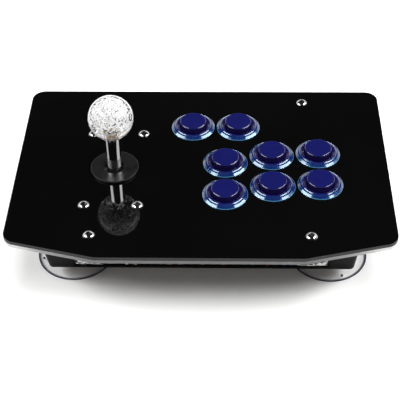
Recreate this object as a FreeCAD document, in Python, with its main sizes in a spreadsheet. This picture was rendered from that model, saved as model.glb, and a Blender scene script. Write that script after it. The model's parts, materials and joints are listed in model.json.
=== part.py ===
# Arcade stick: a two-sheet acrylic panel on a moulded base with four suction feet.
# Millimetres, +Z up, +Y away from the player, origin on the table under the panel's middle.
import math
import os
import FreeCAD, Part
import Sketcher

doc = FreeCAD.newDocument("ArcadeStick")
sheet = doc.addObject("Spreadsheet::Sheet", "Sizes")

size_rows = [
    ("panel_width", "286", "panel, left to right"),
    ("panel_depth", "195", "panel, front to back"),
    ("panel_flat", "150", "straight middle of the front edge"),
    ("panel_sweep", "17", "how far the front corners fall back"),
    ("panel_corner", "10", "corner radius of both sheets"),
    ("top_thick", "3", "black upper sheet"),
    ("under_thick", "3", "clear lower sheet"),
    ("foot_height", "10", "table to underside of the base"),
    ("tub_height", "44", "base, underside to top edge"),
    ("tub_width", "233", "base, left to right"),
    ("tub_depth", "126.4", "base at the bottom, front to back"),
    ("tub_lean", "19.8", "how far front and back lean out"),
    ("tub_offset", "3.9", "base stands this far behind the panel's middle"),
    ("tub_corner", "3.5", "upright corner radius of the base"),
    ("tub_toe", "1.2", "rounding along the bottom edge"),
    ("tub_wall", "2.5", "wall of the base, square to its face"),
    ("tub_floor", "2.5", "floor of the base"),
    ("ledge_reach", "5", "rim ledge beyond the sloping wall"),
    ("ledge_thick", "3", "rim ledge"),
    ("ledge_width", "220", "rim ledge, left to right"),
    ("boss_radius", "4.8", "panel screw boss"),
    ("boss_height", "12", "panel screw boss below the rim"),
    ("trim_width", "190.5", "printed trim in the front recess"),
    ("trim_recess", "1.6", "depth of the recess"),
    ("trim_thick", "0.5", "printed trim"),
    ("trim_low", "4.5", "recess above the bottom of the base"),
    ("trim_clear", "1.5", "recess below the screw bosses"),
    ("trim_gap", "0.3", "play round the trim"),
    ("corner_x", "80.5", "panel screws from the middle, sideways"),
    ("corner_y", "78.7", "panel screws from the base's middle, front and back"),
    ("screw_radius", "2", "bolt shank"),
    ("screw_play", "0.25", "play round a bolt shank"),
    ("head_radius", "4.25", "button head"),
    ("head_height", "2.15", "button head"),
    ("head_edge", "0.25", "upright edge of the button head"),
    ("brow_radius", "3.4", "where the button head's dome turns down"),
    ("brow_height", "1.45", "where the button head's dome turns down"),
    ("socket_flat", "2.5", "hex socket across flats"),
    ("socket_depth", "1.4", "hex socket"),
    ("insert_radius", "3", "brass insert in a boss"),
    ("insert_length", "8", "brass insert in a boss"),
    ("press_play", "0.03", "play of a pressed or screwed piece"),
    ("nut_flat", "7", "bolt nut across flats"),
    ("nut_height", "3.2", "bolt nut"),
    ("bolt_past", "1.2", "bolt end beyond its nut"),
    ("cup_radius", "30", "suction foot at its lip"),
    ("cup_lip", "0.9", "lip of the suction foot"),
    ("cup_neck", "11", "flat crown of the suction foot"),
    ("cup_crown", "1.8", "height of the crown"),
    ("cup_hollow", "3.6", "hollow under the suction foot"),
    ("cup_seal", "1.4", "width of the sealing lip"),
    ("cup_stem", "4", "plug through the floor"),
    ("cup_head", "5.6", "barb of the plug"),
    ("cup_head_height", "3.4", "barb of the plug"),
    ("cup_x", "98.5", "feet from the middle, sideways"),
    ("cup_y", "37.2", "feet from the base's middle, front and back"),
    ("stick_x", "-67.3", "stick axis"),
    ("stick_y", "-0.9", "stick axis"),
    ("stick_hole", "12", "panel and plate opening, radius"),
    ("plate_width", "53", "stick plate, left to right"),
    ("plate_depth", "95", "stick plate, front to back"),
    ("plate_thick", "1.6", "stick plate"),
    ("plate_corner", "4", "stick plate corners"),
    ("plate_bolt_x", "40", "stick bolts, left to right"),
    ("plate_bolt_y", "84", "stick bolts, front to back"),
    ("housing_width", "58", "square stick housing"),
    ("housing_height", "22.4", "stick housing"),
    ("housing_corner", "4", "upright corners of the stick housing"),
    ("housing_rib", "2", "stick housing's lightening pockets leave this wall"),
    ("pivot_drop", "6.4", "pivot below the plate"),
    ("pivot_radius", "9", "pivot ball"),
    ("pivot_play", "0.3", "pivot ball in its socket"),
    ("flange_radius", "14", "spring flange of the pivot"),
    ("flange_top", "4.5", "spring flange below the pivot"),
    ("flange_thick", "2.5", "spring flange"),
    ("bore_slope", "10", "taper of the pivot's bore, degrees"),
    ("spring_room", "16", "round space in the housing, radius"),
    ("spring_room_top", "2", "its ceiling below the pivot"),
    ("spring_radius", "12.4", "spring, middle of the wire"),
    ("spring_wire", "0.7", "wire radius"),
    ("spring_flats", "8", "flats that the round wire is drawn with"),
    ("spring_turns", "3", "turns of the spring"),
    ("seat_inner", "10.3", "spring seat ring"),
    ("seat_outer", "15.5", "spring seat ring"),
    ("seat_thick", "2", "spring seat ring"),
    ("shaft_radius", "4.75", "stick shaft"),
    ("tail_radius", "4", "stick shaft below its shoulder"),
    ("shoulder_drop", "12", "shaft shoulder below the pivot"),
    ("tail_drop", "29.5", "lower end of the shaft below the pivot"),
    ("thread_radius", "2.5", "threaded top of the shaft"),
    ("thread_length", "7", "threaded top of the shaft"),
    ("cover_radius", "6", "tube over the shaft"),
    ("cover_start", "17.6", "tube's lower end above the pivot"),
    ("cover_play", "0.1", "tube on the shaft"),
    ("ball_radius", "17", "ball top"),
    ("ball_rise", "63.1", "ball's middle above the pivot"),
    ("ball_flat", "6.2", "flat under the ball, radius"),
    ("brass_radius", "3.8", "brass bush in the ball"),
    ("brass_length", "8", "brass bush in the ball"),
    ("washer_radius", "18.4", "dust washer"),
    ("washer_hole", "7.9", "dust washer, radius of its hole"),
    ("washer_thick", "2", "dust washer"),
    ("washer_edge", "0.6", "bevel of the dust washer"),
    ("actuator_radius", "7", "actuator sleeve"),
    ("nose_radius", "5.5", "lower end of the actuator"),
    ("nose_start", "22.5", "lower end of the actuator below the pivot"),
    ("clip_radius", "5.3", "retaining clip"),
    ("clip_groove", "3.2", "groove in the shaft"),
    ("clip_thick", "0.7", "retaining clip"),
    ("clip_drop", "26.6", "retaining clip below the pivot"),
    ("clip_mouth", "2.6", "half of the retaining clip's mouth"),
    ("board_thick", "1.6", "circuit boards"),
    ("board_hole", "12", "opening of the stick's board"),
    ("board_tail", "9", "stick's board beyond the housing, to the back"),
    ("switch_long", "12.8", "stick switch, along the board"),
    ("switch_wide", "5.8", "stick switch, outwards"),
    ("switch_tall", "6.4", "stick switch"),
    ("switch_start", "10.9", "stick switch from the stick axis"),
    ("switch_pin", "0.5", "pressed-in pin of the switch"),
    ("pin_width", "3.2", "pin of the switch"),
    ("pin_tall", "2.6", "pin of the switch"),
    ("pin_drop", "4.5", "foot of the pin below the board"),
    ("switch_hole", "0.9", "fixing hole of the switch"),
    ("switch_hole_in", "4.1", "fixing holes behind the switch's front"),
    ("switch_hole_space", "3.2", "fixing holes from the switch's middle"),
    ("header_long", "12.6", "five-way header"),
    ("header_wide", "5.8", "header"),
    ("header_tall", "6.4", "header"),
    ("header_skin", "1", "wall of the header"),
    ("header_base", "2", "bottom of the header"),
    ("gate_wall", "2", "restrictor gate"),
    ("gate_floor", "3", "restrictor gate"),
    ("gate_half", "9.4", "half of the gate's square opening"),
    ("column_x", "18", "first column of buttons"),
    ("button_pitch", "36", "button spacing"),
    ("column_first_y", "5.6", "upper row, first column"),
    ("column_second_y", "14.7", "upper row, second column"),
    ("column_third_y", "17.1", "upper row, third column"),
    ("top_row_x", "-8", "small row at the back"),
    ("top_row_y", "50", "small row at the back"),
    ("barrel_radius", "14.8", "button barrel"),
    ("barrel_play", "0.2", "button barrel in the panel"),
    ("barrel_length", "24", "button barrel below the panel top"),
    ("barrel_wall", "1.4", "button barrel"),
    ("barrel_floor", "2", "button barrel"),
    ("rim_radius", "17.2", "button rim"),
    ("rim_edge", "0.8", "upright foot of the rim"),
    ("rim_height", "2.9", "button rim above the panel"),
    ("rim_crown", "14.2", "highest circle of the rim"),
    ("rim_land", "0.7", "flat width of the crown"),
    ("rim_dish", "1.4", "rim falls this much to the plunger"),
    ("plunger_radius", "10.4", "button plunger"),
    ("plunger_play", "0.3", "plunger in its guide"),
    ("plunger_rise", "6.8", "plunger top above the panel"),
    ("plunger_round", "0.6", "rounded top edge of the plunger"),
    ("plunger_wall", "1.5", "plunger skin"),
    ("plunger_crown", "2", "plunger top"),
    ("guide_depth", "4", "plunger guide below the panel top"),
    ("hook_reach", "0.9", "plunger hooks, outwards"),
    ("hook_height", "1.5", "plunger hooks"),
    ("hook_width", "14", "free width between the plunger hooks' legs"),
    ("stem_radius", "2.4", "plunger stem"),
    ("well_play", "0.4", "stem in the switch"),
    ("key_width", "13.9", "button switch, square"),
    ("key_play", "0.2", "button switch in the barrel floor"),
    ("key_lip", "0.75", "lip that carries the button switch"),
    ("key_lip_thick", "1", "lip that carries the button switch"),
    ("key_rise", "4.6", "button switch above the barrel floor"),
    ("key_drop", "5", "button switch below the barrel"),
    ("key_well", "7.1", "depth of the switch's well"),
    ("stem_dip", "1", "stem reaches into the well at rest"),
    ("blade_wide", "1.6", "switch terminals"),
    ("blade_thick", "0.8", "switch terminals"),
    ("blade_long", "3.5", "switch terminals"),
    ("blade_space", "4", "terminals from the middle"),
    ("ring_radius", "17.3", "button nut"),
    ("ring_height", "5", "button nut"),
    ("ring_notch", "1.2", "grips of the button nut"),
    ("ring_play", "0.25", "button nut on its barrel"),
    ("encoder_x", "66", "encoder board"),
    ("encoder_back", "14.1", "encoder board's middle before the back of the base"),
    ("encoder_long", "50", "encoder board"),
    ("encoder_wide", "26", "encoder board"),
    ("post_x", "20", "board posts from its middle"),
    ("post_y", "9", "board posts from its middle"),
    ("post_radius", "3", "board posts"),
    ("post_height", "5.5", "board posts above the floor"),
    ("post_hole", "1.1", "screw hole in a post"),
    ("tack_head", "2.5", "board screw head"),
    ("tack_top", "1.75", "flat on the board screw head"),
    ("tack_head_height", "1.6", "board screw head"),
    ("tack_length", "5", "board screw in its post"),
    ("chip_size", "9", "controller chip"),
    ("chip_tall", "1.6", "controller chip"),
    ("inlet_x", "10", "cable inlet"),
    ("inlet_height", "24", "cable inlet above the underside of the base"),
    ("inlet_radius", "5", "hole for the grommet"),
    ("inlet_bore", "2.7", "bore of the grommet"),
    ("inlet_flange", "7.2", "grommet flange"),
    ("inlet_lip", "2", "grommet flange"),
]
for row, (alias, number, note) in enumerate(size_rows, start=1):
    sheet.set(f"A{row}", alias)
    sheet.set(f"B{row}", number)
    sheet.set(f"C{row}", note)
    sheet.setAlias(f"B{row}", alias)
doc.recompute()

# Heights and places that several pieces share, as expressions of the sizes
SEAT = "(Sizes.foot_height + Sizes.tub_height)"
PANEL_TOP = "(Sizes.foot_height + Sizes.tub_height + Sizes.under_thick + Sizes.top_thick)"
PLATE_UNDER = f"({SEAT} - Sizes.plate_thick)"
PIVOT = f"({PLATE_UNDER} - Sizes.pivot_drop)"
BOARD_TOP = "(Sizes.pivot_drop - Sizes.housing_height)"
BOARD_UNDER = "(Sizes.pivot_drop - Sizes.housing_height - Sizes.board_thick)"
LEAN = "(Sizes.tub_lean / Sizes.tub_height)"
WALL_RUN = f"(Sizes.tub_wall * sqrt(1 + {LEAN} ^ 2))"
TRIM_TOP = "(Sizes.tub_height - Sizes.boss_height - Sizes.trim_clear)"
BALL_FOOT = "(Sizes.ball_rise - sqrt(Sizes.ball_radius ^ 2 - Sizes.ball_flat ^ 2))"
POST_TOP = "(Sizes.foot_height + Sizes.tub_floor + Sizes.post_height)"
SHANK_HOLE = "(Sizes.screw_radius + Sizes.screw_play)"
ENCODER_Y = "(Sizes.tub_offset + Sizes.tub_depth / 2 - Sizes.encoder_back)"

panel_screw_places = [
    (f"{side} * Sizes.corner_x", f"Sizes.tub_offset + {end} * Sizes.corner_y")
    for side in (-1, 1) for end in (-1, 1)
]
plate_bolt_places = [
    (f"{side} * Sizes.plate_bolt_x / 2", f"{end} * Sizes.plate_bolt_y / 2")
    for side in (-1, 1) for end in (-1, 1)
]
stick_bolt_places = [(f"Sizes.stick_x + {x}", f"Sizes.stick_y + {y}") for x, y in plate_bolt_places]
foot_places = {
    f"{end_name}_{side_name}": (f"{side} * Sizes.cup_x", f"Sizes.tub_offset + {end} * Sizes.cup_y")
    for end_name, end in (("front", -1), ("back", 1)) for side_name, side in (("left", -1), ("right", 1))
}
post_places = [
    (f"Sizes.encoder_x + {side} * Sizes.post_x", f"{ENCODER_Y} + {end} * Sizes.post_y")
    for side in (-1, 1) for end in (-1, 1)
]
columns = ["Sizes.column_x", "Sizes.column_x + Sizes.button_pitch", "Sizes.column_x + 2 * Sizes.button_pitch"]
rows = ["Sizes.column_first_y", "Sizes.column_second_y", "Sizes.column_third_y"]
button_places = list(zip(columns, rows))
button_places += [(x, f"{y} - Sizes.button_pitch") for x, y in zip(columns, rows)]
button_places += [("Sizes.top_row_x", "Sizes.top_row_y")]
button_places += [("Sizes.top_row_x + Sizes.button_pitch", "Sizes.top_row_y")]

pieces = []
# Edges are picked within this distance
NEAR = 0.01


def value(expression):
    return float(sheet.evalExpression(expression))


def place(piece, x="0", y="0", z="0"):
    for axis, expression in (("x", x), ("y", y), ("z", z)):
        if expression != "0":
            piece.setExpression(f"Placement.Base.{axis}", expression)


def new_body(label):
    body = doc.addObject("PartDesign::Body", label)
    body.Label = label
    return body


def keep(piece):
    pieces.append(piece)
    return piece


def new_sketch(body, role="XY_Plane", height="0"):
    sketch = body.newObject("Sketcher::SketchObject", f"{body.Name}_sketch")
    plane = [feature for feature in body.Origin.OriginFeatures if feature.Role == role][0]
    sketch.AttachmentSupport = [(plane, "")]
    sketch.MapMode = "FlatFace"
    if height != "0":
        sketch.setExpression("AttachmentOffset.Base.z", height)
    return sketch


def pin(sketch, geometry, point, x, y):
    # Holds one point of a sketch at two expressions, or on an axis where one of them is zero.
    for kind, expression, axis in (("DistanceX", x, -2), ("DistanceY", y, -1)):
        if expression == "0":
            sketch.addConstraint(Sketcher.Constraint("PointOnObject", geometry, point, axis))
        else:
            held = Sketcher.Constraint(kind, -1, 1, geometry, point, value(expression))
            sketch.setExpression(f"Constraints[{sketch.addConstraint(held)}]", expression)


def add_outline(sketch, corners):
    spots = [FreeCAD.Vector(value(x), value(y), 0) for x, y in corners]
    lines = []
    for start, end in zip(spots, spots[1:] + spots[:1]):
        lines.append(sketch.addGeometry(Part.LineSegment(start, end), False))
    for line, following in zip(lines, lines[1:] + lines[:1]):
        sketch.addConstraint(Sketcher.Constraint("Coincident", line, 2, following, 1))
    for line, (x, y) in zip(lines, corners):
        pin(sketch, line, 1, x, y)


def add_rectangle(sketch, left, front, right, back):
    add_outline(sketch, [(left, front), (right, front), (right, back), (left, back)])


def add_square(sketch, half):
    add_rectangle(sketch, f"-({half})", f"-({half})", half, half)


def add_circle(sketch, radius, x="0", y="0"):
    middle = FreeCAD.Vector(value(x), value(y), 0)
    circle = sketch.addGeometry(Part.Circle(middle, FreeCAD.Vector(0, 0, 1), value(radius)), False)
    size = sketch.addConstraint(Sketcher.Constraint("Radius", circle, value(radius)))
    sketch.setExpression(f"Constraints[{size}]", radius)
    pin(sketch, circle, 3, x, y)


def checked(body, feature):
    doc.recompute()
    if "Invalid" in feature.State or len(body.Shape.Solids) != 1 or not body.Shape.isValid():
        raise RuntimeError(f"{body.Label}: {feature.Name} failed")
    return feature


def pad(body, sketch, length, both_ways=False):
    feature = body.newObject("PartDesign::Pad", f"{body.Name}_pad")
    feature.Profile = sketch
    feature.Midplane = both_ways
    feature.setExpression("Length", length)
    sketch.Visibility = False
    return checked(body, feature)


def pocket(body, sketch, length=None, upward=False, both_ways=False):
    before = body.Shape.Volume
    feature = body.newObject("PartDesign::Pocket", f"{body.Name}_pocket")
    feature.Profile = sketch
    feature.Reversed = upward
    feature.Midplane = both_ways
    if length is None:
        feature.Type = "ThroughAll"
    else:
        feature.setExpression("Length", length)
    checked(body, feature)
    if not body.Shape.Volume < before:
        raise RuntimeError(f"{body.Label}: a pocket cuts nothing")
    return feature


def turned(body, corners):
    # A ring or solid of revolution about the body's Z axis, from (radius, height) corners.
    sketch = new_sketch(body, "XZ_Plane")
    add_outline(sketch, corners)
    feature = body.newObject("PartDesign::Revolution", f"{body.Name}_turned")
    feature.Profile = sketch
    feature.ReferenceAxis = (sketch, ["V_Axis"])
    feature.Angle = 360
    return checked(body, feature)


def edges_where(feature, test):
    return [f"Edge{i}" for i, edge in enumerate(feature.Shape.Edges, start=1) if test(edge)]


def is_upright(edge):
    box = edge.BoundBox
    return box.ZLength > 2 * max(box.XLength, box.YLength)


def circle_at(radius, height):
    # Picks round edges of one radius at one height.
    def test(edge):
        box = edge.BoundBox
        return abs(box.ZMax - height) < NEAR and box.ZLength < NEAR and abs(box.XLength - 2 * radius) < NEAR
    return test


def round_edges(body, test, radius, kind="Fillet"):
    base = body.Tip
    feature = body.newObject(f"PartDesign::{kind}", f"{body.Name}_{kind.lower()}")
    feature.Base = (base, edges_where(base, test))
    feature.setExpression("Radius" if kind == "Fillet" else "Size", radius)
    return checked(body, feature)


def group(label, bodies):
    compound = doc.addObject("Part::Compound", label)
    compound.Label = label
    compound.Links = bodies
    return keep(compound)


# Panel sheets
def panel_sheet(label, thick, height):
    body = new_body(label)
    sketch = new_sketch(body)
    half_width = "Sizes.panel_width / 2"
    half_flat = "Sizes.panel_flat / 2"
    back = "Sizes.panel_depth / 2"
    front = "-Sizes.panel_depth / 2"
    shoulder = "Sizes.panel_sweep - Sizes.panel_depth / 2"
    add_outline(sketch, [
        (f"-{half_width}", shoulder), (f"-{half_flat}", front), (half_flat, front),
        (half_width, shoulder), (half_width, back), (f"-{half_width}", back),
    ])
    pad(body, sketch, thick)
    side = value(half_width)
    at_side = lambda edge: is_upright(edge) and abs(edge.CenterOfMass.x) > side - NEAR
    round_edges(body, at_side, "Sizes.panel_corner")
    holes = new_sketch(body)
    for x, y in button_places:
        add_circle(holes, "Sizes.barrel_radius + Sizes.barrel_play", x, y)
    add_circle(holes, "Sizes.stick_hole", "Sizes.stick_x", "Sizes.stick_y")
    for x, y in panel_screw_places + stick_bolt_places:
        add_circle(holes, SHANK_HOLE, x, y)
    pocket(body, holes, upward=True)
    place(body, z=height)
    return keep(body)


# Moulded base
def tub_section(sketch, inset, low):
    # Section across the base: upright at neither face, because front and back lean out as they rise.
    def half(height):
        return f"(Sizes.tub_depth / 2 + {LEAN} * ({height}) - {inset})"
    high = "Sizes.tub_height"
    add_outline(sketch, [
        (f"Sizes.tub_offset - {half(low)}", low), (f"Sizes.tub_offset + {half(low)}", low),
        (f"Sizes.tub_offset + {half(high)}", high), (f"Sizes.tub_offset - {half(high)}", high),
    ])


def base_tub():
    body = new_body("base_tub")
    outside = new_sketch(body, "YZ_Plane")
    tub_section(outside, "0", "0")
    pad(body, outside, "Sizes.tub_width", both_ways=True)
    inside = new_sketch(body, "YZ_Plane")
    tub_section(inside, WALL_RUN, "Sizes.tub_floor")
    pocket(body, inside, "Sizes.tub_width - 2 * Sizes.tub_wall", both_ways=True)
    half_width = value("Sizes.tub_width / 2")
    at_end = lambda edge: is_upright(edge) and abs(edge.CenterOfMass.x) > half_width - NEAR
    round_edges(body, at_end, "Sizes.tub_corner")
    round_edges(body, lambda edge: edge.BoundBox.ZMax < NEAR, "Sizes.tub_toe")

    ledges = new_sketch(body, height="Sizes.tub_height - Sizes.ledge_thick")
    rim = "(Sizes.tub_depth / 2 + Sizes.tub_lean)"
    half_ledge = "Sizes.ledge_width / 2"
    for end in ("-", "+"):
        inner = f"Sizes.tub_offset {end} ({rim} - Sizes.tub_wall)"
        outer = f"Sizes.tub_offset {end} ({rim} + Sizes.ledge_reach)"
        add_rectangle(ledges, f"-{half_ledge}", inner, half_ledge, outer)
    pad(body, ledges, "Sizes.ledge_thick")
    bosses = new_sketch(body, height="Sizes.tub_height - Sizes.boss_height")
    for x, y in panel_screw_places:
        add_circle(bosses, "Sizes.boss_radius", x, y)
    pad(body, bosses, "Sizes.boss_height")
    posts = new_sketch(body, height="Sizes.tub_floor")
    for x, y in post_places:
        add_circle(posts, "Sizes.post_radius", x, y)
    pad(body, posts, "Sizes.post_height")

    insert_holes = new_sketch(body, height="Sizes.tub_height")
    for x, y in panel_screw_places:
        add_circle(insert_holes, "Sizes.insert_radius + Sizes.press_play", x, y)
    pocket(body, insert_holes, "Sizes.insert_length + Sizes.bolt_past + Sizes.press_play")
    tack_holes = new_sketch(body, height="Sizes.tub_floor + Sizes.post_height")
    for x, y in post_places:
        add_circle(tack_holes, "Sizes.post_hole + Sizes.press_play", x, y)
    pocket(body, tack_holes, "Sizes.tack_length + Sizes.press_play")
    foot_holes = new_sketch(body)
    for x, y in foot_places.values():
        add_circle(foot_holes, "Sizes.cup_stem + Sizes.screw_play", x, y)
    pocket(body, foot_holes, "Sizes.tub_floor", upward=True)

    recess = new_sketch(body, "YZ_Plane")
    trim_section(recess, "Sizes.trim_low", TRIM_TOP, "Sizes.trim_recess", "-Sizes.trim_recess")
    pocket(body, recess, "Sizes.trim_width", both_ways=True)
    inlet = new_sketch(body)
    turn_to_back_wall(inlet, "AttachmentOffset")
    add_circle(inlet, "Sizes.inlet_radius")
    pocket(body, inlet, "2 * (Sizes.tub_wall + Sizes.inlet_lip)", both_ways=True)
    place(body, z="Sizes.foot_height")
    return keep(body)


def trim_section(sketch, low, high, deep, proud):
    # A slice of the sloping front wall, from deep inside its face to a little outside it.
    def face(height, inward):
        return f"Sizes.tub_offset - Sizes.tub_depth / 2 - {LEAN} * ({height}) + ({inward})"
    add_outline(sketch, [(face(low, deep), low), (face(low, proud), low),
                         (face(high, proud), high), (face(high, deep), high)])


def turn_to_back_wall(target, prefix, base="0"):
    # Sets a sketch or piece square to the sloping back wall, at the cable inlet on its outer face.
    upright = FreeCAD.Rotation(FreeCAD.Vector(-1, 0, 0), 90)
    setattr(target, prefix, FreeCAD.Placement(FreeCAD.Vector(0, 0, 0), upright))
    out = f"Sizes.tub_offset + Sizes.tub_depth / 2 + {LEAN} * Sizes.inlet_height"
    target.setExpression(f"{prefix}.Base.x", "Sizes.inlet_x")
    target.setExpression(f"{prefix}.Base.y", out)
    target.setExpression(f"{prefix}.Base.z", f"Sizes.inlet_height + {base}")
    target.setExpression(f"{prefix}.Rotation.Angle", f"90 deg + atan({LEAN})")


def front_trim():
    body = new_body("front_trim")
    sketch = new_sketch(body, "YZ_Plane")
    low = "Sizes.trim_low + Sizes.trim_gap"
    high = f"{TRIM_TOP} - Sizes.trim_gap"
    trim_section(sketch, low, high, "Sizes.trim_recess", "Sizes.trim_recess - Sizes.trim_thick")
    pad(body, sketch, "Sizes.trim_width - 2 * Sizes.trim_gap", both_ways=True)
    place(body, z="Sizes.foot_height")
    return keep(body)


def cable_grommet():
    body = new_body("cable_grommet")
    lip = "Sizes.inlet_lip"
    neck = "Sizes.inlet_radius - Sizes.press_play"
    turned(body, [
        ("Sizes.inlet_bore", lip), ("Sizes.inlet_flange - Sizes.inlet_lip / 2", lip),
        ("Sizes.inlet_flange", "0"), (neck, "0"), (neck, "-Sizes.tub_wall"),
        ("Sizes.inlet_flange", "-Sizes.tub_wall"),
        ("Sizes.inlet_flange - Sizes.inlet_lip / 2", "-Sizes.tub_wall - Sizes.inlet_lip"),
        ("Sizes.inlet_bore", "-Sizes.tub_wall - Sizes.inlet_lip"),
    ])
    turn_to_back_wall(body, "Placement", "Sizes.foot_height")
    return keep(body)


def suction_foot(label, x, y):
    body = new_body(label)
    crown = "Sizes.foot_height - Sizes.cup_crown"
    top = "Sizes.foot_height + Sizes.tub_floor"
    barb = f"{top} + Sizes.screw_play"
    head_top = f"{top} + Sizes.cup_head_height"
    turned(body, [
        ("0", "Sizes.cup_hollow"), ("Sizes.cup_radius - Sizes.cup_seal", "0"), ("Sizes.cup_radius", "0"),
        ("Sizes.cup_radius", "Sizes.cup_lip"), ("Sizes.cup_neck", crown),
        ("Sizes.cup_neck", "Sizes.foot_height"), ("Sizes.cup_stem", "Sizes.foot_height"),
        ("Sizes.cup_stem", barb), ("Sizes.cup_head", barb),
        ("Sizes.cup_stem", head_top), ("0", head_top),
    ])
    place(body, x, y)
    return keep(body)


# Fasteners
def button_head_bolt(name, length, x, y):
    body = new_body(name)
    turned(body, [
        ("0", "Sizes.head_height"), ("Sizes.socket_flat", "Sizes.head_height"),
        ("Sizes.brow_radius", "Sizes.brow_height"), ("Sizes.head_radius", "Sizes.head_edge"),
        ("Sizes.head_radius", "0"), ("Sizes.screw_radius", "0"),
        ("Sizes.screw_radius", f"-({length})"), ("0", f"-({length})"),
    ])
    socket = new_sketch(body, height="Sizes.head_height")
    add_hexagon(socket, "Sizes.socket_flat")
    pocket(body, socket, "Sizes.socket_depth")
    place(body, x, y, PANEL_TOP)
    return body


def add_hexagon(sketch, flats):
    reach = f"({flats}) / sqrt(3)"
    half = f"({flats}) / 2"
    add_outline(sketch, [
        (reach, "0"), (f"{reach} / 2", half), (f"-{reach} / 2", half),
        (f"-{reach}", "0"), (f"-{reach} / 2", f"-{half}"), (f"{reach} / 2", f"-{half}"),
    ])


def bolt_nut(name, x, y):
    body = new_body(name)
    sketch = new_sketch(body)
    add_hexagon(sketch, "Sizes.nut_flat")
    add_circle(sketch, "Sizes.screw_radius + Sizes.press_play")
    pad(body, sketch, "Sizes.nut_height")
    place(body, x, y, f"{PLATE_UNDER} - Sizes.nut_height")
    return body


def brass_insert(name, x, y):
    body = new_body(name)
    sketch = new_sketch(body)
    add_circle(sketch, "Sizes.insert_radius")
    add_circle(sketch, "Sizes.screw_radius + Sizes.press_play")
    pad(body, sketch, "Sizes.insert_length")
    place(body, x, y, f"{SEAT} - Sizes.insert_length")
    return body


def board_tack(name, x, y):
    body = new_body(name)
    turned(body, [
        ("0", "Sizes.tack_head_height"), ("Sizes.tack_top", "Sizes.tack_head_height"),
        ("Sizes.tack_head", "0"), ("Sizes.post_hole", "0"),
        ("Sizes.post_hole", "-Sizes.board_thick - Sizes.tack_length"),
        ("0", "-Sizes.board_thick - Sizes.tack_length"),
    ])
    place(body, x, y, f"{POST_TOP} + Sizes.board_thick")
    return body


# Stick: the pieces have their zero height at the pivot
def at_pivot(piece):
    place(piece, "Sizes.stick_x", "Sizes.stick_y", PIVOT)
    return keep(piece)


def stick_plate():
    body = new_body("stick_plate")
    sketch = new_sketch(body, height="Sizes.pivot_drop")
    half_x = "Sizes.plate_width / 2"
    half_y = "Sizes.plate_depth / 2"
    add_rectangle(sketch, f"-{half_x}", f"-{half_y}", half_x, half_y)
    pad(body, sketch, "Sizes.plate_thick")
    round_edges(body, is_upright, "Sizes.plate_corner")
    holes = new_sketch(body, height="Sizes.pivot_drop")
    add_circle(holes, "Sizes.stick_hole")
    for x, y in plate_bolt_places:
        add_circle(holes, SHANK_HOLE, x, y)
    pocket(body, holes, upward=True)
    return at_pivot(body)


def stick_housing():
    body = new_body("stick_housing")
    sketch = new_sketch(body, height=BOARD_TOP)
    add_square(sketch, "Sizes.housing_width / 2")
    pad(body, sketch, "Sizes.housing_height")
    round_edges(body, is_upright, "Sizes.housing_corner")
    room = new_sketch(body, height=BOARD_TOP)
    add_circle(room, "Sizes.spring_room")
    pocket(body, room, f"-{BOARD_TOP} - Sizes.spring_room_top", upward=True)
    socket = new_sketch(body, "XZ_Plane")
    reach = "Sizes.pivot_radius + Sizes.pivot_play"
    round_line = Part.Circle(FreeCAD.Vector(0, 0, 0), FreeCAD.Vector(0, 0, 1), value(reach))
    arc = socket.addGeometry(Part.ArcOfCircle(round_line, -math.pi / 2, math.pi / 2), False)
    chord = socket.addGeometry(Part.LineSegment(
        FreeCAD.Vector(0, value(reach), 0), FreeCAD.Vector(0, -value(reach), 0)), False)
    socket.addConstraint(Sketcher.Constraint("Coincident", arc, 3, -1, 1))
    socket.addConstraint(Sketcher.Constraint("Coincident", arc, 2, chord, 1))
    socket.addConstraint(Sketcher.Constraint("Coincident", arc, 1, chord, 2))
    socket.addConstraint(Sketcher.Constraint("PointOnObject", arc, 1, -2))
    socket.addConstraint(Sketcher.Constraint("PointOnObject", arc, 2, -2))
    size = socket.addConstraint(Sketcher.Constraint("Radius", arc, value(reach)))
    socket.setExpression(f"Constraints[{size}]", reach)
    before = body.Shape.Volume
    groove = body.newObject("PartDesign::Groove", "stick_housing_socket")
    groove.Profile = socket
    groove.ReferenceAxis = (socket, ["V_Axis"])
    groove.Angle = 360
    doc.recompute()
    if not body.Shape.Volume < before:
        raise RuntimeError("stick_housing: the socket cuts nothing")
    pockets = new_sketch(body, height=BOARD_TOP)
    outer = "(Sizes.housing_width / 2 - Sizes.housing_rib)"
    inner = "(Sizes.spring_room / sqrt(2) + Sizes.housing_rib)"
    for side in ("-", ""):
        for end in ("-", ""):
            add_rectangle(pockets, f"{side}{inner}", f"{end}{inner}", f"{side}{outer}", f"{end}{outer}")
    pocket(body, pockets, "Sizes.housing_height - Sizes.housing_rib", upward=True)
    return at_pivot(body)


def primitive(kind, name, **expressions):
    solid = doc.addObject(f"Part::{kind}", name)
    height = expressions.pop("z", "0")
    for size, expression in expressions.items():
        solid.setExpression(size, expression)
    place(solid, z=height)
    return solid


def combined(kind, label, base, tools):
    # Joins or cuts solids one after another, and returns the last result.
    for step, tool in enumerate(tools, start=1):
        name = label if step == len(tools) else f"{label}_step_{step}"
        result = doc.addObject(f"Part::{kind}", name)
        result.Base = base
        result.Tool = tool
        base = result
    doc.recompute()
    return base


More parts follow.
